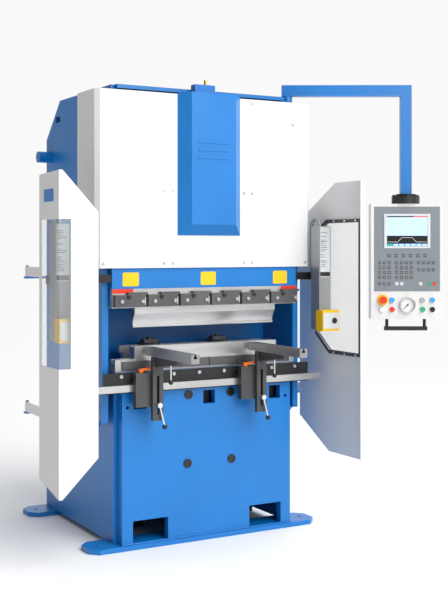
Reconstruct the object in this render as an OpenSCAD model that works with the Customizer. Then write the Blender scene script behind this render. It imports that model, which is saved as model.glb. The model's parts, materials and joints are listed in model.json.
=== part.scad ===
// Small hydraulic press brake with swing guards, sheet supports and a console on a swing arm.
// Origin: centre of the anchor hole rectangle, on the floor. +X right, +Y to the back, +Z up.

/* [Frame] */
// Outer half width across the two side plates
side_x = 520; // [515:1:525]
// Thickness of the side plates
side_t = 20; // [18:1:20]
// Height of the side plates' top edge
top_z = 2349; // [2345:1:2360]
// Thickness of the foot plates
foot_t = 25; // [20:1:25]
// Radius of the anchor holes
anchor_r = 11; // [9:0.5:13]

/* [Ram and tools] */
// Half length of the ram
ram_x = 548; // [540:1:548]
// Half length of the punch and of the die
tool_x = 418; // [380:1:440]
// Height of the punch tip at the top of the stroke
tip_z = 1114; // [1112:1:1120]
// Height of the top of the die
die_z = 1020; // [1010:1:1020]

/* [Covers] */
// Outer half width of the white covers
cover_x = 639; // [630:1:645]
// Thickness of the cover sheet
sheet_t = 4; // [3:0.5:4]

/* [Console] */
// Width of the console case
case_w = 400; // [380:1:420]
// Reach of the swing arm from its pivot to the console
arm_reach = 665; // [640:1:680]

/* [Hidden] */
$fn = 48;
blue = [0.0, 0.42, 0.76];
white = [0.93, 0.93, 0.92];
steel = [0.7, 0.71, 0.72];
dark = [0.13, 0.13, 0.14];

// Plane of the bed's front face; lengths below marked "back" are measured from it towards the rear
front_y = -515;
inner_x = side_x - side_t;
back_y = front_y + 1022;
throat_y = front_y + 317;
bed_z = 894;
anchor_x = 610;
anchor_y = 440;
tool_y = front_y + 50;
fork_x = 242;
fork_w = 198;
fork_h = 117;
cover_z = 1417;
cover_top = 2313;
seam_x = 235;
wing_x = 585;
hinge_zs = [720, 1400];
hinge_y = front_y + 270;
left_hinge_x = -900;
right_hinge_x = 720;
left_xc = -350;
right_xc = 256;
clamp_pitch = 183;
rail_pitch = 83;
bar_pitch = 147;
pivot = [577, front_y + 150];
console_yaw = -30;
case_z = 1124;
case_h = 640;
case_d = 110;
face_y = -case_d / 2;

// A block from one corner to the opposite corner
module block(low, high) { translate(low) cube(high - low); }
// A cylinder along Y from y0 to y1
module rod_y(x, z, r, y0, y1) { translate([x, y1, z]) rotate([90, 0, 0]) cylinder(r = r, h = y1 - y0); }
// A cylinder along Z from z0 to z1
module rod_z(x, y, r, z0, z1) { translate([x, y, z0]) cylinder(r = r, h = z1 - z0); }
// An outline drawn in Y and Z, from x0 to x1
module slab_x(x0, x1) { translate([x0, 0, 0]) rotate([90, 0, 90]) linear_extrude(x1 - x0) children(); }

// ---- frame ----
module side_plate(x0) {
    color(blue) slab_x(x0, x0 + side_t) difference() {
        polygon([[front_y + 58, foot_t], [back_y, foot_t], [back_y, top_z - 206], [back_y - 215, top_z],
            [front_y + 92, top_z], [front_y + 92, 1400], [throat_y - 60, 1400], [throat_y - 1, 1340],
            [throat_y - 1, 954], [throat_y - 60, bed_z], [front_y + 58, bed_z]]);
        translate([back_y - 215, top_z - 120]) square([70, 34]);
    }
}
module left_side_plate() {
    side_plate(-side_x);
    color(blue) translate([-side_x, back_y - 60, 2040]) rotate([0, -90, 0]) cylinder(r = 32, h = 75);
}
module right_side_plate() {
    side_plate(inner_x);
    color(blue) block([side_x, pivot[1] - 40, 2290], [pivot[0] + 35, pivot[1] + 40, 2310]);
}
module bed_front_plate() {
    color(blue) difference() {
        union() {
            block([-inner_x, front_y, foot_t], [inner_x, front_y + 40, bed_z]);
            block([-inner_x, front_y, bed_z - 30], [inner_x, throat_y - 1, bed_z]);
            for (s = [-1, 1])
                translate([s * (inner_x - 10) - 10, front_y, foot_t]) cube([20, 120, bed_z - foot_t]);
        }
        for (x = [-fork_x - fork_w, fork_x])
            block([x, front_y - 1, foot_t - 1], [x + fork_w, front_y + 41, foot_t + fork_h]);
        for (x = [-435, -38, 365]) block([x, front_y - 1, 706], [x + 70, front_y + 41, 776]);
        for (x = [-470, 470]) rod_y(x, 716, 9, front_y - 1, front_y + 41);
    }
}
module foot_outline(y0, y1) {
    cut = 45;
    polygon([[-670 + cut, y0], [670 - cut, y0], [670, y0 + cut], [670, y1 - cut], [670 - cut, y1],
        [-670 + cut, y1], [-670, y1 - cut], [-670, y0 + cut]]);
}
module foot_plates() {
    color(blue) for (s = [-1, 1]) difference() {
        linear_extrude(foot_t) foot_outline(s * anchor_y - 90, s * anchor_y + 90);
        for (x = [-anchor_x, anchor_x]) rod_z(x, s * anchor_y, anchor_r, -1, foot_t + 1);
    }
}
module top_plate() {
    color(blue) block([-inner_x, front_y + 60, top_z - 20], [inner_x, back_y - 216, top_z]);
}
module throat_wall() {
    color(blue) block([-inner_x, throat_y, bed_z - 30], [inner_x, throat_y + 20, 1500]);
}
module rear_cover() {
    slope_foot = top_z - 215;
    slope_head = top_z - 20;
    color(blue) block([-inner_x, back_y - 20, foot_t + 5], [inner_x, back_y - 16, slope_foot]);
    color(blue) slab_x(-inner_x, inner_x) polygon([[back_y - 20, slope_foot - 1], [back_y - 16, slope_foot - 1],
        [back_y - 204, slope_head], [back_y - 208, slope_head]]);
}
module wing(s) {
    outline = [[front_y + 73, 660], [front_y + 130, 610], [front_y + 448, 610], [front_y + 448, 1500],
        [front_y + 73, 1500]];
    slab_x(s > 0 ? wing_x - 20 : -wing_x, s > 0 ? wing_x : -wing_x + 20) polygon(outline);
    translate([s > 0 ? wing_x - 33 : -wing_x, front_y + 53, 640]) cube([33, 20, 860]);
    for (z = [660, 1440])
        translate([s > 0 ? side_x : -wing_x + 20, front_y + 380, z]) cube([wing_x - 20 - side_x, 60, 20]);
}
module hinge_arm(x0, hinge_x) {
    for (z = hinge_zs) {
        block([min(x0, hinge_x) - (hinge_x < 0 ? 14 : 0), hinge_y - 14, z - 35],
            [max(x0, hinge_x) + (hinge_x > 0 ? 14 : 0), hinge_y + 14, z - 25]);
        rod_z(hinge_x, hinge_y, 6, z - 35, z + 32);
    }
}
module wing_plates() {
    color(blue) for (s = [-1, 1]) wing(s);
    color(blue) hinge_arm(-wing_x, left_hinge_x);
    color(blue) hinge_arm(wing_x, right_hinge_x);
}
module table_bar() {
    color(dark) block([-605, front_y - 18, 792], [605, front_y, bed_z]);
}
module front_rail() {
    color(steel) block([-670, front_y - 43, 800], [670, front_y - 18, 834]);
}
module socket_screws() {
    color(steel) for (i = [-7.5:7.5]) rod_y(i * rail_pitch, 817, 7, front_y - 43.4, front_y - 43);
    color(steel) for (i = [-3.5:3.5]) difference() {
        rod_y(i * bar_pitch, 876, 9, front_y - 27, front_y - 18);
        rod_y(i * bar_pitch, 876, 4, front_y - 28, front_y - 23);
    }
}
module bed_plugs() {
    color(dark) for (p = [[-131, 405], [131, 405], [-125, 760], [125, 760]]) difference() {
        rod_y(p[0], p[1], 23, front_y - 6, front_y);
        rod_y(p[0], p[1], 17, front_y - 7, front_y - 4);
    }
}
module tool_holder() {
    color(steel) difference() {
        block([-532, front_y + 13, bed_z], [532, front_y + 87, 956]);
        block([-533, tool_y - 7, 936], [533, tool_y + 7, 957]);
    }
    color(dark) for (i = [-2.5:2.5])
        block([i * 166 - 81, front_y + 3, 904], [i * 166 + 81, front_y + 13, 948]);
}
module v_die() {
    v_half = 9;
    color(steel) slab_x(-tool_x - 4, tool_x + 4) polygon([[tool_y - 30, 956], [tool_y - 6.5, 956],
        [tool_y - 6.5, 938], [tool_y + 6.5, 938], [tool_y + 6.5, 956], [tool_y + 30, 956], [tool_y + 30, die_z],
        [tool_y + v_half, die_z], [tool_y, die_z - v_half], [tool_y - v_half, die_z], [tool_y - 30, die_z]]);
}

// ---- covers ----
// Plan of one bent side cover: rear edge, side, bevel, then the front as far as the seam
module cover_plan(inset) {
    x = cover_x - inset;
    polygon([[-x, front_y + 249], [-x, front_y + 26], [-x + 22 - inset * 0.4, front_y + 4 + inset],
        [-seam_x - 1, front_y + 4 + inset], [-seam_x - 1, front_y + 249]]);
}
module side_cover() {
    color(white) translate([0, 0, cover_z]) linear_extrude(cover_top - cover_z) difference() {
        cover_plan(0);
        translate([0, 0.01]) cover_plan(sheet_t);
        translate([-cover_x + sheet_t, front_y + 200]) square([cover_x, 60]);
        translate([-seam_x - 60, front_y + 4 + sheet_t]) square([70, 300]);
    }
}
module left_cover() { side_cover(); }
module right_cover() { mirror([1, 0, 0]) side_cover(); }
module centre_cover() {
    color(white) block([-seam_x, front_y + 4, cover_z], [seam_x, front_y + 4 + sheet_t, cover_top]);
}
module cover_screws() {
    spots = [for (x = [-600, -262, -212, 212, 262, 600]) [x, 1440]];
    middle = [for (x = [-262, -212, 212, 262]) [x, 1810]];
    upper = [[-520, 2190], [-262, 2290], [262, 2290], [520, 2190]];
    color(steel) for (p = concat(spots, middle, upper)) rod_y(p[0], p[1], 7, front_y + 1, front_y + 4);
}
module blue_fairing() {
    color(blue) hull() {
        block([-186, front_y + 2, 1584], [186, front_y + 4, 2323]);
        block([-131, front_y - 51, 1640], [131, front_y - 50, 2323]);
    }
}

// ---- hydraulics ----
module main_cylinder() {
    cylinder_y = front_y + 120;
    color(steel) difference() {
        rod_z(0, cylinder_y, 90, 1850, 2310);
        rod_z(0, cylinder_y, 60, 1890, 2280);
        rod_z(0, cylinder_y, 37, 1849, 1891);
    }
    color(blue) block([-95, front_y + 70, 2310], [45, front_y + 170, 2329]);
    color(blue) block([-80, front_y + 12, 2329], [40, front_y + 58, 2372]);
    color("goldenrod") rod_z(-5, front_y + 35, 9, 2372, 2400);
}
module oil_tank() {
    color(dark) block([-300, front_y + 620, 1700], [300, back_y - 20.5, 2000]);
    color(steel) rod_z(-120, front_y + 800, 80, 2000, 2240);
}

// ---- ram ----
module ram_beam() {
    color(blue) block([-ram_x, front_y + 15, 1312], [ram_x, front_y + 75, 1800]);
    color(blue) block([-100, front_y + 75, 1700], [100, front_y + 170, 1760]);
    color(steel) rod_z(0, front_y + 120, 35, 1760, 1990);
    color(steel) rod_z(0, front_y + 120, 58, 1990, 2040);
}
module clamp_bar() {
    color(steel) difference() {
        block([-ram_x, front_y + 15, 1216], [ram_x, front_y + 85, 1312]);
        block([-ram_x - 1, tool_y - 8, 1215], [ram_x + 1, tool_y + 8, 1246]);
    }
}
module punch_clamps() {
    color(dark) for (i = [-2.5:2.5]) {
        block([i * clamp_pitch - 84, front_y - 12, 1221], [i * clamp_pitch + 84, front_y + 15, 1283]);
        block([i * clamp_pitch - 10, front_y - 8, 1283], [i * clamp_pitch + 98, front_y + 15, 1295]);
    }
}
module clamp_screws() {
    color(steel) for (i = [-2.5:2.5], dx = [-48, 66]) difference() {
        rod_y(i * clamp_pitch + dx, 1250, 9, front_y - 20, front_y - 12);
        rod_y(i * clamp_pitch + dx, 1250, 4, front_y - 21, front_y - 16);
    }
}
module punch() {
    neck = [for (a = [0:10:80]) [tool_y - 20 + 24 * sin(a), 1184 - 62 * a / 90]];
    color(steel) slab_x(-tool_x, tool_x) polygon(concat([[tool_y - 7, 1216], [tool_y - 24, 1216],
        [tool_y - 24, 1184]], neck, [[tool_y - 2, tip_z + 8], [tool_y, tip_z], [tool_y + 8, tip_z + 16],
        [tool_y + 26, tip_z + 50], [tool_y + 26, 1216], [tool_y + 7, 1216], [tool_y + 7, 1243],
        [tool_y - 7, 1243]]));
}
// A light guard column on its bracket from the ram, with its head and its bent conduit
module light_column(x_low, x_high, head_low, bracket_from, bracket_to) {
    conduit_x = (x_low + x_high) / 2;
    color(steel) block([x_low, front_y - 100, 1074], [x_high, front_y - 20, 1637]);
    color("gold") block([head_low, front_y - 165, 1070], [head_low + 110, front_y - 100, 1182]);
    color(dark) block([bracket_from, front_y + 18, 1345], [bracket_to, front_y + 46, 1385]);
    color(dark) block([x_low + 5, front_y - 20, 1345], [x_high - 5, front_y + 46, 1385]);
    color(steel) translate([conduit_x, front_y - 10, 1637]) rotate([90, 0, 90])
        rotate_extrude(angle = 180) translate([40, 0]) circle(r = 9);
    color(steel) rod_z(conduit_x, front_y + 30, 9, 1385, 1637);
}
module left_light_column() { light_column(-890, -815, -895, -860, -ram_x); }
module right_light_column() { light_column(625, 700, 602, ram_x, 660); }

// ---- sheet supports; xc is the middle of the arm ----
module carriage(xc) {
    color(dark) block([xc - 110, front_y - 79, 725], [xc + 34, front_y - 44, 896]);
    color(dark) block([xc - 110, front_y - 44, 835], [xc + 34, front_y - 24, 852]);
    color(dark) block([xc - 110, front_y - 44, 782], [xc + 34, front_y - 24, 799]);
}
module bracket(xc) {
    color(dark) difference() {
        block([xc - 29, front_y - 105, 657], [xc + 29, front_y - 80, 974]);
        block([xc - 7, front_y - 106, 690], [xc + 7, front_y - 79, 880]);
    }
    color(dark) slab_x(xc - 15, xc + 15) polygon([[front_y - 105, 974], [front_y - 340, 974],
        [front_y - 340, 955], [front_y - 105, 925]]);
}
module support_arm(xc) {
    color(steel) difference() {
        block([xc - 22, front_y - 500, 975], [xc + 22, front_y - 4, 1018]);
        block([xc - 5, front_y - 501, 1008], [xc + 5, front_y - 3, 1019]);
        block([xc - 10, front_y - 501, 998], [xc + 10, front_y - 3, 1008.5]);
    }
}
module rail_lever(xc) {
    color("darkorange") rod_z(xc - 76, front_y - 62, 13, 897, 914);
    color("darkorange") translate([xc - 76, front_y - 70, 904]) rotate([0, -6, 0]) cube([66, 15, 11]);
}
module height_lever(xc) {
    color(dark) rod_y(xc, 735, 13, front_y - 130, front_y - 106);
    color(dark) rod_y(xc, 735, 6, front_y - 106, front_y - 81);
    color(steel) translate([xc, front_y - 122, 735]) rotate([0, 165, 0]) cylinder(r = 4.5, h = 105);
    color(dark) translate([xc, front_y - 122, 735]) rotate([0, 165, 0]) translate([0, 0, 112]) sphere(r = 13);
}
module arm_lever(xc) {
    color(dark) translate([xc + 15.5, front_y - 170, 950]) rotate([0, 90, 0]) cylinder(r = 9, h = 29);
    color(steel) rod_z(xc + 38, front_y - 170, 4.5, 858, 950);
    color(dark) translate([xc + 38, front_y - 170, 852]) sphere(r = 12);
}
module left_carriage() { carriage(left_xc); }
module left_bracket() { bracket(left_xc); }
module left_arm() { support_arm(left_xc); }
module left_rail_lever() { rail_lever(left_xc); }
module left_height_lever() { height_lever(left_xc); }
module left_arm_lever() { arm_lever(left_xc); }
module right_carriage() { carriage(right_xc); }
module right_bracket() { bracket(right_xc); }
module right_arm() { support_arm(right_xc); }
module right_rail_lever() { rail_lever(right_xc); }
module right_height_lever() { height_lever(right_xc); }
module right_arm_lever() { arm_lever(right_xc); }

// ---- back gauge ----
module gauge_beam() {
    color(steel) block([-430, front_y + 190, 975], [430, front_y + 225, 1012]);
    color(dark) for (x = [-390, 390]) block([x - 20, front_y + 190, bed_z + 0.5], [x + 20, front_y + 225, 975]);
}
module finger(x) {
    color(dark) translate([x, 0, 1013]) linear_extrude(10) offset(r = 8)
        polygon([[-14, front_y + 102], [14, front_y + 102], [48, front_y + 170], [48, front_y + 215],
            [-48, front_y + 215], [-48, front_y + 170]]);
    color(dark) block([x - 40, front_y + 160, 1023], [x + 40, front_y + 210, 1040]);
    color(dark) rod_z(x, front_y + 185, 15, 1040, 1052);
    color(dark) rod_z(x - 30, front_y + 185, 8, 1040, 1050);
}
module left_finger() { finger(-261); }
module right_finger() { finger(148); }

// ---- guards ----
module knuckles(hinge_x) {
    for (z = hinge_zs) difference() {
        rod_z(hinge_x, hinge_y, 11, z - 24, z + 25);
        rod_z(hinge_x, hinge_y, 6.5, z - 25, z + 26);
    }
}
module left_guard() {
    x0 = -911;
    x1 = -712;
    y0 = front_y - 200;
    color(white) difference() {
        union() {
            slab_x(x0, x0 + sheet_t) polygon([[y0, 340], [y0 + 265, 395], [y0 + 265, 1875], [y0, 1885]]);
            translate([0, y0 + sheet_t, 0]) rotate([90, 0, 0]) linear_extrude(sheet_t)
                polygon([[x0, 340], [x0 + 18, 340], [x1, 520], [x1, 1690], [x0 + 18, 1885], [x0, 1885]]);
            block([x1 - sheet_t, y0, 525], [x1, y0 + 30, 1685]);
        }
        block([x0 - 1, y0 - 1, 950], [x0 + 60, y0 + 240, 1655]);
    }
    color(white) for (z = hinge_zs)
        block([x0, y0 + 260, z - 24], [x0 + sheet_t, hinge_y, z + 25]);
    color(white) knuckles(left_hinge_x);
}
module left_window() {
    x0 = -911;
    y0 = front_y - 200;
    color([0.8, 0.85, 0.88, 0.4]) block([x0 + 0.5, y0 + 0.5, 950.5], [x0 + 3.5, y0 + 239.5, 1654.5]);
    color([0.8, 0.85, 0.88, 0.4]) block([x0 + 3.5, y0 + 0.5, 950.5], [x0 + 59.5, y0 + 3.5, 1654.5]);
}
module right_guard_hole() {
    polygon([[front_y - 330, 952], [front_y - 56, 952], [front_y + 71, 1050], [front_y + 71, 1600],
        [front_y - 30, 1661], [front_y - 330, 1661]]);
}
module right_guard() {
    x1 = right_hinge_x + 11;
    color(white) slab_x(x1 - sheet_t, x1) difference() {
        polygon([[front_y - 367, 397], [front_y - 42, 397], [front_y + 246, 562], [front_y + 246, 1675],
            [front_y - 104, 1876], [front_y - 367, 1876]]);
        right_guard_hole();
    }
    color(white) block([x1 - 30, front_y - 371, 397], [x1, front_y - 367, 1876]);
    color(white) for (z = hinge_zs)
        block([x1 - sheet_t, front_y + 246, z - 24], [x1, hinge_y, z + 25]);
    color(white) knuckles(right_hinge_x);
}
module right_window() {
    x1 = right_hinge_x + 11;
    color([0.8, 0.85, 0.88, 0.4]) slab_x(x1 - 7, x1 - 4) offset(delta = 12) right_guard_hole();
}

// ---- console, drawn about its pivot and turned by console_yaw ----
module at_pivot() { translate([pivot[0], pivot[1], 0]) rotate([0, 0, console_yaw]) children(); }
module at_console() { at_pivot() translate([arm_reach, 0, 0]) children(); }
module swing_arm() {
    tube = 30;
    color(blue) at_pivot() {
        rod_z(0, 0, tube, 2311, 2373);
        block([-tube, -tube, 2368], [arm_reach + tube, tube, 2428]);
        block([arm_reach - tube, -tube, 1821], [arm_reach + tube, tube, 2368]);
    }
}
module console_case() {
    at_console() {
        color(white) block([-case_w / 2, face_y, case_z], [case_w / 2, -face_y, case_z + case_h]);
        color(dark) rod_z(0, 0, 54, case_z + case_h - 5, 1820);
        color(dark) rod_z(0, 0, 78, case_z + case_h, 1808);
        color(dark) for (x = [-105, 105]) rod_z(x, 0, 9, 1068, case_z + 5);
        color(dark) translate([-120, 0, 1068]) rotate([0, 90, 0]) cylinder(r = 12, h = 240);
        color("gold") difference() {
            rod_y(-136, 1230, 30, face_y - 8, face_y + 2);
            rod_y(-136, 1230, 11, face_y - 9, face_y + 3);
        }
    }
}
module key_grid(x0, z0, columns, rows, pitch) {
    for (i = [0:columns - 1], k = [0:rows - 1])
        block([x0 + i * pitch - 8, face_y - 5, z0 - k * pitch - 8], [x0 + i * pitch + 8, face_y - 3, z0 - k * pitch + 8]);
}
module keypad_panel() {
    color([0.45, 0.48, 0.5]) at_console() {
        block([-182, face_y - 3, 1279], [182, face_y, 1748]);
        difference() {
            block([-128, face_y - 7, 1517], [128, face_y - 3, 1708]);
            block([-114, face_y - 8, 1527], [114, face_y - 4, 1697]);
        }
        for (i = [-2.5:2.5])
            block([i * 40 - 9, face_y - 5, 1468], [i * 40 + 9, face_y - 3, 1486]);
        key_grid(-152, 1437, 3, 4, 27);
        key_grid(-152, 1320, 3, 1, 27);
        key_grid(-57, 1437, 4, 4, 27);
        key_grid(65, 1437, 4, 1, 27);
        key_grid(65, 1398, 4, 1, 27);
    }
}
module emergency_stop() {
    color("red") at_console() {
        rod_y(-136, 1230, 20, face_y - 34, face_y - 16);
        rod_y(-136, 1230, 10, face_y - 16, face_y - 7);
    }
}
module pressure_gauge() {
    color(steel) at_console() difference() {
        rod_y(2, 1202, 44, face_y - 20, face_y);
        rod_y(2, 1202, 39, face_y - 21, face_y - 6);
    }
}
module gauge_needle() {
    color(dark) at_console() {
        rod_y(2, 1202, 4, face_y - 12, face_y - 7);
        translate([2, 0, 1202]) rotate([0, -135, 0]) block([-1.2, face_y - 11, -8], [1.2, face_y - 9, 32]);
    }
}
module key_switch() {
    color(steel) at_console() difference() {
        rod_y(86, 1229, 14, face_y - 12, face_y - 0.5);
        block([84.5, face_y - 13, 1221], [87.5, face_y - 6, 1237]);
    }
}
module button(x, z, tint) {
    color(tint) at_console() {
        rod_y(x, z, 14, face_y - 12, face_y - 5);
        rod_y(x, z, 9, face_y - 5, face_y - 4.2);
    }
}
module blue_button_left() { button(-84, 1229, "dodgerblue"); }
module white_button() { button(-140, 1177, "white"); }
module red_button() { button(-84, 1177, "orangered"); }
module blue_button_right() { button(140, 1229, "dodgerblue"); }
module green_button() { button(86, 1177, "seagreen"); }
module black_button() { button(140, 1177, "black"); }

left_side_plate();
right_side_plate();
bed_front_plate();
foot_plates();
top_plate();
throat_wall();
rear_cover();
wing_plates();
table_bar();
front_rail();
socket_screws();
bed_plugs();
tool_holder();
v_die();
left_cover();
right_cover();
centre_cover();
cover_screws();
blue_fairing();
main_cylinder();
oil_tank();
ram_beam();
clamp_bar();
punch_clamps();
clamp_screws();
punch();
left_light_column();
right_light_column();
left_carriage();
left_bracket();
left_arm();
left_rail_lever();
left_height_lever();
left_arm_lever();
right_carriage();
right_bracket();
right_arm();
right_rail_lever();
right_height_lever();
right_arm_lever();
gauge_beam();
left_finger();
right_finger();
left_guard();
left_window();
right_guard();
right_window();
swing_arm();
console_case();
keypad_panel();
emergency_stop();
pressure_gauge();
gauge_needle();
key_switch();
blue_button_left();
white_button();
red_button();
blue_button_right();
green_button();
black_button();
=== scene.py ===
"""Looks for the press brake: materials, small details, light and camera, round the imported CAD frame."""
import json
import math
import random

import bmesh
import bpy
from mathutils import Matrix, Vector


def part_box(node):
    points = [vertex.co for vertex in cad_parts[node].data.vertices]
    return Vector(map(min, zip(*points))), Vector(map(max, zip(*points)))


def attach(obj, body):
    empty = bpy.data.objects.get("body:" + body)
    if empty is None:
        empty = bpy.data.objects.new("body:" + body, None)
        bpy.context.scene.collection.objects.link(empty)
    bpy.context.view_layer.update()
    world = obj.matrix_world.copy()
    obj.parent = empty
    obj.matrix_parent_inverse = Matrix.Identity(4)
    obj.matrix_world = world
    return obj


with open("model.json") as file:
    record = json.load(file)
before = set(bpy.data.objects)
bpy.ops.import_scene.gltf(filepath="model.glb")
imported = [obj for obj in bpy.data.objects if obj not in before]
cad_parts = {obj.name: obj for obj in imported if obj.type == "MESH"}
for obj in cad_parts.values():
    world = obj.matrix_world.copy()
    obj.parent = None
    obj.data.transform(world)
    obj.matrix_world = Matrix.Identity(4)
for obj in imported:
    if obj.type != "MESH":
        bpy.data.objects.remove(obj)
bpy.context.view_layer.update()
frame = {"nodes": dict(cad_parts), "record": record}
NODES = frame["nodes"]
FRONT = -0.515
rng = random.Random(7)

# ---- camera ----
CAMERA_YAW = math.radians(29.5)
camera_data = bpy.data.cameras.new("camera")
camera_data.sensor_fit = "HORIZONTAL"
camera_data.sensor_width = 36
camera_data.lens = 87.7
camera_data.shift_y = -0.1167
camera_data.clip_end = 60
camera = bpy.data.objects.new("camera", camera_data)
camera.location = (-2.7466, -5.5226, 1.52)
camera.rotation_euler = (math.pi / 2, 0, -CAMERA_YAW)
bpy.context.scene.collection.objects.link(camera)
bpy.context.scene.camera = camera


# ---- materials ----
def finish(name, color, rough=0.4, metal=0.0, grain=250, bump=0.05, mottle=0.06, stretch=(1, 1, 1),
           edge=0.0012):
    """A surface with fine grain, slow colour variation, uneven gloss and softened edges."""
    material = bpy.data.materials.new(name)
    material.use_nodes = True
    nodes, links = material.node_tree.nodes, material.node_tree.links
    shader = nodes["Principled BSDF"]
    shader.inputs["Metallic"].default_value = metal
    place = nodes.new("ShaderNodeTexCoord")
    mapping = nodes.new("ShaderNodeMapping")
    mapping.inputs["Scale"].default_value = stretch
    links.new(place.outputs["Object"], mapping.inputs["Vector"])
    slow = nodes.new("ShaderNodeTexNoise")
    slow.inputs["Scale"].default_value = 3.5
    slow.inputs["Detail"].default_value = 5
    links.new(mapping.outputs["Vector"], slow.inputs["Vector"])
    tint = nodes.new("ShaderNodeValToRGB")
    tint.color_ramp.elements[0].position = 0.3
    tint.color_ramp.elements[1].position = 0.7
    tint.color_ramp.elements[0].color = [c * (1 - mottle) for c in color] + [1]
    tint.color_ramp.elements[1].color = [min(1, c * (1 + mottle)) for c in color] + [1]
    links.new(slow.outputs["Fac"], tint.inputs["Fac"])
    links.new(tint.outputs["Color"], shader.inputs["Base Color"])
    fine = nodes.new("ShaderNodeTexNoise")
    fine.inputs["Scale"].default_value = grain
    fine.inputs["Detail"].default_value = 3
    links.new(mapping.outputs["Vector"], fine.inputs["Vector"])
    gloss = nodes.new("ShaderNodeMapRange")
    gloss.inputs["To Min"].default_value = max(0.05, rough - 0.07)
    gloss.inputs["To Max"].default_value = min(1.0, rough + 0.07)
    links.new(slow.outputs["Fac"], gloss.inputs["Value"])
    links.new(gloss.outputs["Result"], shader.inputs["Roughness"])
    soft = nodes.new("ShaderNodeBevel")
    soft.inputs["Radius"].default_value = edge
    relief = nodes.new("ShaderNodeBump")
    relief.inputs["Strength"].default_value = bump
    relief.inputs["Distance"].default_value = 0.0006
    links.new(fine.outputs["Fac"], relief.inputs["Height"])
    links.new(soft.outputs["Normal"], relief.inputs["Normal"])
    links.new(relief.outputs["Normal"], shader.inputs["Normal"])
    return material


def glow(name, color, strength):
    """A lit display colour over a glossy face."""
    material = finish(name, color, rough=0.2, bump=0)
    shader = material.node_tree.nodes["Principled BSDF"]
    shader.inputs["Emission Color"].default_value = (*color, 1)
    shader.inputs["Emission Strength"].default_value = strength
    return material


def clear_sheet():
    """Clear plastic sheet with faint smears."""
    material = finish("clear_sheet", (0.62, 0.66, 0.68), rough=0.08, grain=12, bump=0.01, mottle=0.02)
    shader = material.node_tree.nodes["Principled BSDF"]
    shader.inputs["Alpha"].default_value = 0.16
    return material


BLUE = finish("blue_paint", (0.002, 0.17, 0.52), rough=0.34, grain=420, bump=0.10, mottle=0.05)
WHITE = finish("white_powder_coat", (0.72, 0.72, 0.71), rough=0.45, grain=900, bump=0.12, mottle=0.012)
GROUND = finish("ground_steel", (0.55, 0.55, 0.55), rough=0.30, metal=0.85, grain=90, bump=0.12,
                mottle=0.12, stretch=(0.6, 6, 6))
DARK_STEEL = finish("dark_steel", (0.085, 0.085, 0.09), rough=0.42, metal=0.55, grain=160, bump=0.12,
                    mottle=0.2)
CLAMP_STEEL = finish("clamp_steel", (0.11, 0.11, 0.115), rough=0.38, metal=0.6, grain=140, bump=0.15,
                     mottle=0.2)
BLACK_BAR = finish("black_oxide", (0.018, 0.018, 0.02), rough=0.42, metal=0.3, grain=200, bump=0.1,
                   mottle=0.3)
ARM_METAL = finish("anodised_arm", (0.33, 0.33, 0.335), rough=0.36, metal=0.8, grain=200, bump=0.08,
                   mottle=0.1, stretch=(6, 0.5, 6))
COLUMN_METAL = finish("column_profile", (0.36, 0.37, 0.38), rough=0.4, metal=0.7, grain=200, bump=0.06,
                      stretch=(6, 6, 0.5))
BLACK = finish("black_plastic", (0.012, 0.012, 0.013), rough=0.28, grain=300, bump=0.05)
ORANGE = finish("orange_lever", (0.9, 0.16, 0.005), rough=0.38, grain=500, bump=0.08)
YELLOW = finish("yellow_plastic", (0.88, 0.53, 0.0), rough=0.4, grain=500, bump=0.06)
PANEL = finish("grey_membrane", (0.20, 0.225, 0.245), rough=0.5, grain=800, bump=0.1, mottle=0.02)
KEY = finish("key_frame", (0.09, 0.10, 0.11), rough=0.5, grain=800, bump=0.1)
RED = finish("red_plastic", (0.78, 0.035, 0.012), rough=0.25, grain=200, bump=0.02)
SKY = finish("blue_button", (0.05, 0.36, 0.85), rough=0.22, grain=200, bump=0.02)
IVORY = finish("white_button", (0.82, 0.82, 0.80), rough=0.22, grain=200, bump=0.02)
GREEN = finish("green_button", (0.03, 0.38, 0.17), rough=0.22, grain=200, bump=0.02)
CHROME = finish("chrome", (0.75, 0.75, 0.76), rough=0.14, metal=1.0, grain=60, bump=0.01)
BRASS = finish("brass", (0.62, 0.42, 0.14), rough=0.3, metal=1.0)
LABEL = finish("pale_label", (0.62, 0.64, 0.65), rough=0.5, grain=500, bump=0.03)
INK = finish("grey_ink", (0.10, 0.10, 0.11), rough=0.6)
RUBBER = finish("gasket_rubber", (0.055, 0.058, 0.06), rough=0.6, grain=300, bump=0.15)
GLASS = clear_sheet()

SLOT_LOOKS = {
    "blue_paint": BLUE, "white_paint": WHITE, "ground_steel": GROUND, "black_steel": DARK_STEEL,
    "grey_metal": COLUMN_METAL, "black_plastic": BLACK, "orange_plastic": ORANGE, "clear_window": GLASS,
    "grey_panel": PANEL, "red_plastic": RED, "blue_plastic": SKY, "white_plastic": IVORY,
    "green_plastic": GREEN,
}
NODE_LOOKS = {
    "table_bar": BLACK_BAR, "oil_tank": BLACK_BAR, "left_arm": ARM_METAL, "right_arm": ARM_METAL,
    "punch_clamps": CLAMP_STEEL, "pressure_gauge": CHROME, "key_switch": CHROME,
}


def dress(node, looks):
    """Gives a CAD node its materials, as (material, test of a face's centre). The first has no test."""
    mesh = NODES[node].data
    mesh.materials.clear()
    for material, _ in looks:
        mesh.materials.append(material)
    for face in mesh.polygons:
        face.material_index = 0
        for index, (_, test) in enumerate(looks[1:], 1):
            if test(face.center):
                face.material_index = index


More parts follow.
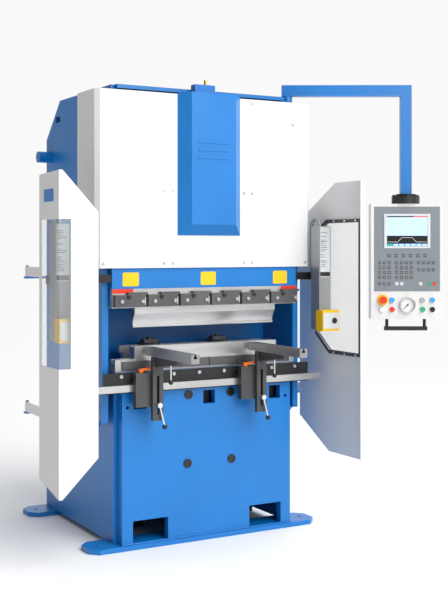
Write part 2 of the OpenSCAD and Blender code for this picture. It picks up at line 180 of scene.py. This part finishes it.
for entry in frame["record"]["subparts"]:
    look = NODE_LOOKS.get(entry["node"], SLOT_LOOKS[entry["material_slot"]])
    dress(entry["node"], [(look, None)])
dress("tool_holder", [(GROUND, None), (CLAMP_STEEL, lambda c: c.y < FRONT + 0.0125)])
dress("ram_beam", [(BLUE, None), (CHROME, lambda c: c.z > 1.7605 and c.y > FRONT + 0.076)])
dress("main_cylinder", [(DARK_STEEL, None), (BLUE, lambda c: c.z > 2.31), (BRASS, lambda c: c.z > 2.3725)])
HEAD_TOP, HEAD_FRONT = 1.1825, FRONT - 0.099
for column in ("left_light_column", "right_light_column"):
    dress(column, [(COLUMN_METAL, None), (BLACK, lambda c: c.y > FRONT - 0.0195 and 1.34 < c.z < 1.386),
                   (YELLOW, lambda c: c.z < HEAD_TOP and c.y < HEAD_FRONT)])
for side in ("left", "right"):
    for lever in ("height_lever", "arm_lever"):
        low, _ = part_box(f"{side}_{lever}")
        ball_top = low.z + 0.024
        dress(f"{side}_{lever}", [(CHROME, None), (BLACK, lambda c, t=ball_top: c.z < t)])

# ---- places on the machine, in metres ----
RAM_FACE = FRONT + 0.0149
CLAMP_FACE = FRONT - 0.0125
COLUMN_FACE = FRONT - 0.1
FAIRING_FACE = FRONT - 0.051
ARM_YAW = Matrix.Rotation(math.radians(-30), 4, "Z")
ARM_PIVOT = Vector((0.577, FRONT + 0.15, 0))
ARM_REACH = 0.665
CONSOLE = Matrix.Translation(ARM_PIVOT) @ ARM_YAW @ Matrix.Translation((ARM_REACH, 0, 0))
FACE = -0.055
FILM = 0.0002
BUTTONS = ((-0.084, 1.229), (-0.14, 1.177), (-0.084, 1.177), (0.14, 1.229), (0.086, 1.177), (0.14, 1.177),
           (0.086, 1.229))
KEY_BLOCKS = ((-0.152, 1.437, 3, 4), (-0.152, 1.320, 3, 1), (-0.057, 1.437, 4, 4), (0.065, 1.437, 4, 1),
              (0.065, 1.398, 4, 1))
KEY_PITCH = 0.027
WINDOW_OUTLINE = ((-0.330, 0.952), (-0.056, 0.952), (0.071, 1.05), (0.071, 1.60), (-0.03, 1.661),
                  (-0.330, 1.661))


# ---- mesh helpers ----


def piece(name, body, materials, bm, place=None, smooth=False):
    """Turns a bmesh into a named piece that rides on a body."""
    mesh = bpy.data.meshes.new(name)
    if place is not None:
        bm.transform(place)
    bmesh.ops.recalc_face_normals(bm, faces=bm.faces)
    bm.to_mesh(mesh)
    bm.free()
    for material in materials:
        mesh.materials.append(material)
    for face in mesh.polygons:
        face.use_smooth = smooth
    obj = bpy.data.objects.new(name, mesh)
    bpy.context.scene.collection.objects.link(obj)
    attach(obj, body)
    return obj


def prism(bm, front, back, index=0):
    """Closes two rings of vertices into a solid."""
    faces = [bm.faces.new(front), bm.faces.new(back[::-1])]
    for i in range(len(front)):
        j = (i + 1) % len(front)
        faces.append(bm.faces.new((front[i], back[i], back[j], front[j])))
    for face in faces:
        face.material_index = index


def plate(bm, outline, y0, y1, index=0):
    """A flat plate: an outline of (x, z) points, from y0 to y1."""
    front = [bm.verts.new((x, y0, z)) for x, z in outline]
    back = [bm.verts.new((x, y1, z)) for x, z in outline]
    prism(bm, front, back, index)


def stroke(bm, start, end, half_width, y0, y1, index):
    """A thin straight line from start to end, both (x, z)."""
    (xa, za), (xb, zb) = start, end
    across = Vector((zb - za, xa - xb)).normalized() * half_width
    outline = [(xa - across.x, za - across.y), (xb - across.x, zb - across.y),
               (xb + across.x, zb + across.y), (xa + across.x, za + across.y)]
    plate(bm, outline, y0, y1, index)


def rect(x0, z0, x1, z1):
    return [(x0, z0), (x1, z0), (x1, z1), (x0, z1)]


def rounded(x0, z0, x1, z1, r, steps=5):
    """A rectangle with round corners, as (x, z) points."""
    points = []
    corners = ((x1 - r, z0 + r, -90), (x1 - r, z1 - r, 0), (x0 + r, z1 - r, 90), (x0 + r, z0 + r, 180))
    for cx, cz, start in corners:
        for k in range(steps + 1):
            angle = math.radians(start + 90 * k / steps)
            points.append((cx + r * math.cos(angle), cz + r * math.sin(angle)))
    return points


def disc(cx, cz, r, steps=48):
    """A circle, as points in the plane."""
    return [(cx + r * math.cos(2 * math.pi * k / steps), cz + r * math.sin(2 * math.pi * k / steps))
            for k in range(steps)]


def lathe_y(bm, cx, cz, profile, steps=40, index=0):
    """Turns a profile of (radius, y) points about an axis along Y."""
    rings = [[bm.verts.new((x, y, z)) for x, z in disc(cx, cz, r, steps)] for r, y in profile]
    for a, b in zip(rings, rings[1:]):
        for k in range(steps):
            j = (k + 1) % steps
            bm.faces.new((a[k], a[j], b[j], b[k])).material_index = index
    return rings


def tube(name, body, material, points, radius, cyclic=False):
    """A round bar or seal along points, as a bevelled curve."""
    curve = bpy.data.curves.new(name, "CURVE")
    curve.dimensions = "3D"
    curve.bevel_depth = radius
    curve.bevel_resolution = 3
    curve.use_fill_caps = True
    spline = curve.splines.new("POLY")
    spline.points.add(len(points) - 1)
    for p, co in zip(spline.points, points):
        p.co = (*co, 1)
    spline.use_cyclic_u = cyclic
    curve.materials.append(material)
    obj = bpy.data.objects.new(name, curve)
    bpy.context.scene.collection.objects.link(obj)
    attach(obj, body)
    return obj


# ---- ram: plain patches, red strips, clamp details ----
def plain_patches():
    """Plain yellow patches on the ram."""
    bm = bmesh.new()
    for x in (-0.445, 0.0, 0.445):
        plate(bm, rounded(x - 0.045, 1.325, x + 0.045, 1.395, 0.008), RAM_FACE - 0.0005, RAM_FACE)
    piece("plain_patches", "ram", [YELLOW], bm)


def red_strips():
    """The red strips at both ends of the ram."""
    bm = bmesh.new()
    for x0, x1 in ((-0.546, -0.432), (0.45, 0.546)):
        plate(bm, rounded(x0, 1.290, x1, 1.312, 0.003), RAM_FACE - 0.0024, RAM_FACE)
    piece("red_end_strips", "ram", [RED], bm)


def clamp_details():
    """A pin and a small rib on each punch clamp."""
    bm = bmesh.new()
    for i in range(6):
        x = (i - 2.5) * 0.183
        pin = [(0.011, CLAMP_FACE), (0.011, FRONT - 0.016), (0.008, FRONT - 0.018), (0.0001, FRONT - 0.018)]
        lathe_y(bm, x - 0.01, 1.272, pin, 24, 1)
        plate(bm, rect(x + 0.076, 1.232, x + 0.082, 1.268), CLAMP_FACE - 0.004, CLAMP_FACE, 0)
    piece("clamp_pins", "ram", [GROUND, BLACK], bm)


# ---- light guard columns ----
def column_faces(side, x0, x1, head0):
    """Label strip and ticks on the column, and the grey face between the head's yellow bands."""
    bm = bmesh.new()
    front = COLUMN_FACE
    plate(bm, rounded(x0 + 0.006, 1.36, x1 - 0.006, 1.632, 0.003), front - 0.001, front, 0)
    z = 1.60
    while z > 1.40:
        width = rng.uniform(0.35, 0.85) * (x1 - x0 - 0.02)
        plate(bm, rect(x0 + 0.010, z, x0 + 0.010 + width, z + 0.003), front - 0.0014, front - 0.001, 1)
        z -= rng.choice((0.008, 0.008, 0.012, 0.02))
    plate(bm, rect(x0 + 0.006, 1.365, x1 - 0.006, 1.388), front - 0.0015, front - 0.001, 2)
    plate(bm, rounded(head0 + 0.004, 1.083, head0 + 0.106, 1.169, 0.006), front - 0.0685, front - 0.0652, 0)
    lens = [(0.016, front - 0.0685), (0.016, front - 0.071), (0.011, front - 0.0715),
            (0.0001, front - 0.0695)]
    lathe_y(bm, head0 + 0.075, 1.126, lens, 24, 2)
    piece(f"{side}_column_face", "ram", [LABEL, INK, BLACK], bm)


# ---- guards ----
def window_seals():
    """The dark seal round the right guard's window, inside and outside."""
    n = len(WINDOW_OUTLINE)
    centre = Vector((sum(y for y, _ in WINDOW_OUTLINE) / n, sum(z for _, z in WINDOW_OUTLINE) / n))
    for name, seal_x in (("right_seal_inner", 0.719), ("right_seal_outer", 0.733)):
        bm = bmesh.new()
        inner, outer = [], []
        for y, z in WINDOW_OUTLINE:
            away = (Vector((y, z)) - centre).normalized()
            inner.append(Vector((y, z)) - away * 0.006)
            outer.append(Vector((y, z)) + away * 0.014)
        rows = [[bm.verts.new((x, FRONT + p.x, p.y)) for p in ring]
                for x in (seal_x, seal_x + 0.003) for ring in (inner, outer)]
        for k in range(n):
            j = (k + 1) % n
            a, b, c, d = rows
            bm.faces.new((a[k], a[j], b[j], b[k]))
            bm.faces.new((c[k], d[k], d[j], c[j]))
            bm.faces.new((a[k], c[k], c[j], a[j]))
            bm.faces.new((b[k], b[j], d[j], d[k]))
        piece(name, "right_guard", [RUBBER], bm)


def seal_screws():
    """Small screw heads along the window seal."""
    bm = bmesh.new()
    for z in (0.948, 1.665):
        for y in (-0.30, -0.20, -0.10):
            ring = disc(0, 0, 0.0045, 12)
            top = [bm.verts.new((0.7165, FRONT + y + u, z + v)) for u, v in ring]
            base = [bm.verts.new((0.719, FRONT + y + u * 1.3, z + v * 1.3)) for u, v in ring]
            prism(bm, top, base)
    piece("seal_screws", "right_guard", [CHROME], bm)


def guard_badge():
    """A plain blue patch near the top of the left guard."""
    bm = bmesh.new()
    x = -0.911
    outline = rounded(FRONT - 0.13, 1.74, FRONT, 1.80, 0.01)
    front = [bm.verts.new((x - 0.001, y, z)) for y, z in outline]
    back = [bm.verts.new((x, y, z)) for y, z in outline]
    prism(bm, front, back)
    piece("guard_badge", "left_guard", [BLUE], bm)


# ---- covers ----
def fairing_ribs():
    """Three plain raised ribs across the fairing."""
    bm = bmesh.new()
    for z in (1.98, 2.02, 2.06):
        plate(bm, rounded(-0.09, z, 0.09, z + 0.016, 0.007), FAIRING_FACE - 0.003, FAIRING_FACE)
    piece("fairing_ribs", "frame", [BLUE], bm)


def weld_bead():
    """The fillet weld between the bed's front and the foot plate."""
    points = []
    for k in range(160):
        x = -0.5 + k / 159
        y = FRONT - 0.003 + rng.uniform(-0.0007, 0.0007)
        points.append((x, y, 0.028 + rng.uniform(-0.0006, 0.0006)))
    tube("weld_bead", "frame", BLUE, points, 0.0045)


def pocket_shade_plates():
    """Dark walls behind the fork pockets and the openings in the bed plate: painted shade, standing in for
    the shadow inside these recesses.
    """
    bm = bmesh.new()
    for x0 in (-0.44, 0.242):
        plate(bm, rect(x0, 0.027, x0 + 0.198, 0.142), FRONT + 0.3, FRONT + 0.31)
    for x0 in (-0.435, -0.038, 0.365):
        plate(bm, rect(x0, 0.706, x0 + 0.07, 0.776), FRONT + 0.06, FRONT + 0.065)
    piece("pocket_shade_backs", "frame", [BLACK_BAR], bm)


# ---- console ----
def console_display():
    """The lit screen: a bent profile line over a dark band, with a row of plain blocks below."""
    bm = bmesh.new()
    y0, y1 = FACE - 0.0045, FACE - 0.0041
    plate(bm, rect(-0.112, 1.587, 0.112, 1.695), y0, y1, 0)
    plate(bm, rect(-0.112, 1.543, 0.112, 1.587), y0, y1, 1)
    plate(bm, rect(-0.112, 1.529, 0.112, 1.543), y0, y1, 2)
    plate(bm, rect(-0.112, 1.689, 0.112, 1.695), y0 - FILM, y0, 1)
    plate(bm, rect(0.035, 1.689, 0.112, 1.695), y0 - 2 * FILM, y0 - FILM, 4)
    line = [(-0.106, 1.552), (-0.052, 1.552), (-0.030, 1.576), (0.028, 1.576), (0.05, 1.552), (0.106, 1.552)]
    for start, end in zip(line, line[1:]):
        stroke(bm, start, end, 0.0007, y0 - FILM, y0, 3)
    for k in range(7):
        x0 = -0.108 + k * 0.032
        plate(bm, rect(x0, 1.531, x0 + 0.026, 1.541), y0 - FILM, y0, 5 if k == 0 else 0)
    for row in range(6):
        plate(bm, rect(-0.105, 1.60 + row * 0.014, 0.105, 1.6008 + row * 0.014), y0 - FILM, y0, 2)
    looks = [glow("display_pale", (0.42, 0.60, 0.86), 0.5), glow("display_black", (0.004, 0.004, 0.005), 0.0),
             glow("display_blue", (0.03, 0.16, 0.65), 0.4), glow("display_line", (0.8, 0.8, 0.75), 0.5),
             glow("display_red", (0.75, 0.12, 0.10), 0.4), glow("display_green", (0.05, 0.4, 0.15), 0.4)]
    piece("display_image", "console", looks, bm, CONSOLE)


def key_caps():
    """A dark frame with a short pale bar on each membrane key, and the coloured keys below."""
    bm = bmesh.new()
    y0, y1 = FACE - 0.0054, FACE - 0.005
    spots = [((i - 2.5) * 0.040, 1.477) for i in range(6)]
    for x0, z0, columns, rows in KEY_BLOCKS:
        spots += [(x0 + i * KEY_PITCH, z0 - k * KEY_PITCH) for i in range(columns) for k in range(rows)]
    for x, z in spots:
        plate(bm, rounded(x - 0.0065, z - 0.0065, x + 0.0065, z + 0.0065, 0.0015, 3), y0, y1, 0)
        plate(bm, rect(x - 0.003, z - 0.001, x + 0.003, z + 0.001), y0 - FILM, y0, 1)
    for x, index in ((-0.057, 1), (-0.030, 1), (0.075, 1), (0.122, 2), (0.150, 3)):
        plate(bm, rounded(x - 0.009, 1.311, x + 0.009, 1.329, 0.002, 3), FACE - 0.0036, FACE - 0.003, index)
    piece("key_faces", "console", [KEY, LABEL, GREEN, RED], bm, CONSOLE)


def bezels():
    """Bright rings round the push buttons and the key."""
    bm = bmesh.new()
    profile = [(0.0155, FACE), (0.0155, FACE - 0.003), (0.0149, FACE - 0.0048), (0.0145, FACE - 0.003),
               (0.0145, FACE)]
    for x, z in BUTTONS:
        lathe_y(bm, x, z, profile, 40)
    piece("button_bezels", "console", [CHROME], bm, CONSOLE, smooth=True)


def gauge_dial():
    """The gauge's white face with a ring of plain ticks."""
    bm = bmesh.new()
    centre = Vector((0.002, 1.202))
    plate(bm, disc(*centre, 0.0388), FACE - 0.0064, FACE - 0.006, 0)
    for k in range(31):
        angle = math.radians(225 - 270 * k / 30)
        along = Vector((math.cos(angle), math.sin(angle)))
        tick_start = 0.030 if k % 5 else 0.027
        start, end = centre + along * tick_start, centre + along * 0.034
        stroke(bm, start, end, 0.0004, FACE - 0.0066, FACE - 0.0064, 1)
    piece("gauge_dial", "console", [IVORY, INK], bm, CONSOLE)


def coupling_bolts():
    """Eight bolt heads on top of the console's coupling disc."""
    bm = bmesh.new()
    for k in range(8):
        angle = 2 * math.pi * k / 8
        ring = disc(0.066 * math.cos(angle), 0.066 * math.sin(angle), 0.008, 16)
        low = [bm.verts.new((x, y, 1.807)) for x, y in ring]
        high = [bm.verts.new((x, y, 1.816)) for x, y in ring]
        prism(bm, low, high)
    piece("coupling_bolts", "console", [BLACK_BAR], bm, CONSOLE)


def dress_console():
    """Colours the console's faces by where they lie, in the console's own frame."""
    local = CONSOLE.inverted()

    def is_dark(c):
        p = local @ c
        return p.z < 1.1235 or p.z > 1.7645

    def is_collar(c):
        p = local @ c
        return p.y < FACE - 0.0005 and math.hypot(p.x + 0.136, p.z - 1.23) < 0.031

    def is_key(c):
        p = local @ c
        return FACE - 0.0052 < p.y < FACE - 0.0031 and p.z < 1.5

    def is_bezel(c):
        return (local @ c).y < FACE - 0.0038 and (local @ c).z > 1.5

    dress("console_case", [(WHITE, None), (BLACK_BAR, is_dark), (YELLOW, is_collar)])
    dress("keypad_panel", [(PANEL, None), (KEY, is_key), (LABEL, is_bezel)])


plain_patches()
red_strips()
clamp_details()
column_faces("left", -0.890, -0.815, -0.895)
column_faces("right", 0.625, 0.700, 0.602)
window_seals()
seal_screws()
guard_badge()
fairing_ribs()
weld_bead()
pocket_shade_plates()
dress_console()
console_display()
key_caps()
bezels()
gauge_dial()
coupling_bolts()


# ---- stage ----
def stage():
    """A plain pale floor."""
    bm = bmesh.new()
    bmesh.ops.create_grid(bm, x_segments=2, y_segments=2, size=30)
    mesh = bpy.data.meshes.new("floor")
    bm.to_mesh(mesh)
    bm.free()
    floor = bpy.data.objects.new("floor", mesh)
    floor.location = (0, 0, -0.0005)
    floor_look = finish("floor_pale", (0.9, 0.9, 0.9), rough=0.7, bump=0, mottle=0.0)
    mesh.materials.append(floor_look)
    bpy.context.scene.collection.objects.link(floor)


def lamp(name, location, target, size, power):
    """A soft area light that faces the target."""
    data = bpy.data.lights.new(name, "AREA")
    data.size = size
    data.energy = power
    obj = bpy.data.objects.new(name, data)
    obj.location = location
    obj.rotation_euler = (Vector(target) - Vector(location)).to_track_quat("-Z", "Y").to_euler()
    bpy.context.scene.collection.objects.link(obj)


def soft_sun():
    """A broad sun that keeps the floor even."""
    data = bpy.data.lights.new("soft_sun", "SUN")
    data.energy = 1.5
    data.angle = math.radians(40)
    obj = bpy.data.objects.new("soft_sun", data)
    obj.rotation_euler = (math.radians(38), 0, math.radians(22))
    bpy.context.scene.collection.objects.link(obj)


def pale_sky():
    """A white sky that dims towards -X, so the left faces are darker than the front."""
    world = bpy.data.worlds.new("world")
    bpy.context.scene.world = world
    world.use_nodes = True
    nodes, links = world.node_tree.nodes, world.node_tree.links
    background = nodes["Background"]
    background.inputs["Color"].default_value = (1, 1, 1, 1)
    place = nodes.new("ShaderNodeTexCoord")
    axes = nodes.new("ShaderNodeSeparateXYZ")
    dim = nodes.new("ShaderNodeMapRange")
    for socket, value in (("From Min", -0.7), ("From Max", 0.1), ("To Min", 0.12), ("To Max", 0.95)):
        dim.inputs[socket].default_value = value
    links.new(place.outputs["Generated"], axes.inputs["Vector"])
    links.new(axes.outputs["X"], dim.inputs["Value"])
    links.new(dim.outputs["Result"], background.inputs["Strength"])


stage()
lamp("key", (0.5, -5.5, 3.6), (0, 0, 1.1), 3.0, 120)
lamp("fill", (-5.0, -3.0, 2.6), (0, 0, 1.2), 3.0, 12)
lamp("rim", (4.5, -1.5, 3.5), (0, 0, 1.3), 2.5, 40)
soft_sun()
pale_sky()
bpy.context.scene.view_settings.view_transform = "Standard"
